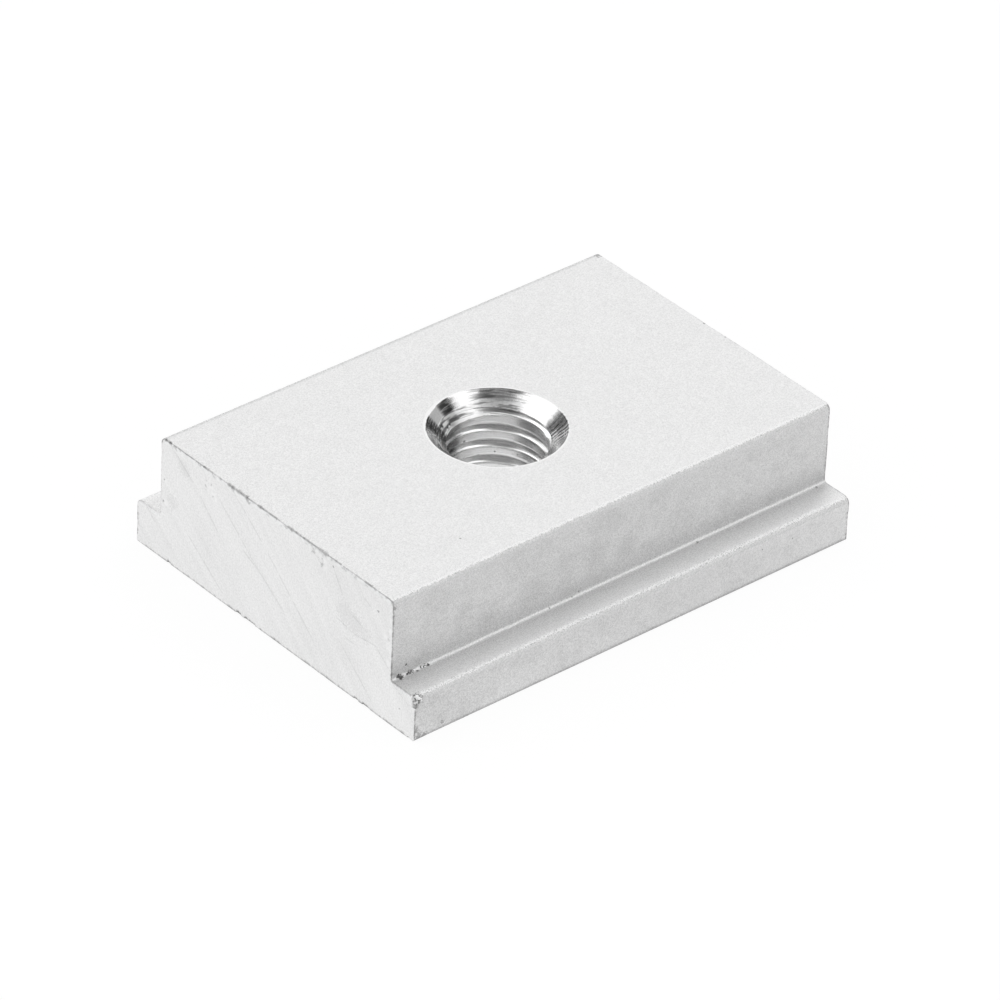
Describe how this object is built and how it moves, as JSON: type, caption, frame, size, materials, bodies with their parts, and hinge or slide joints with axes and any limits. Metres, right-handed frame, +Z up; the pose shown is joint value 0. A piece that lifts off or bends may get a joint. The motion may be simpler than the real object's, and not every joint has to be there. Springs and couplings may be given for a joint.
{
  "type": "t slot nut",
  "caption": "Sliding T slot nut of T section, bead blasted, with a countersunk and tapped hole for a clamping screw.",
  "frame": {"origin": "centre of the bottom face, on the surface that the nut rests on", "axes": "+X along the extrusion, the way the nut slides in its track; +Y across the wings; +Z up, out of the tapped hole's countersunk mouth"},
  "size_m": [0.03, 0.0228, 0.0076],
  "materials": {
    "blasted_aluminium": "bead blasted, with sawn ends and a bright machined hole"
  },
  "bodies": {
    "root": {"t_slot_nut": "blasted_aluminium"}
  },
  "joints": []
}
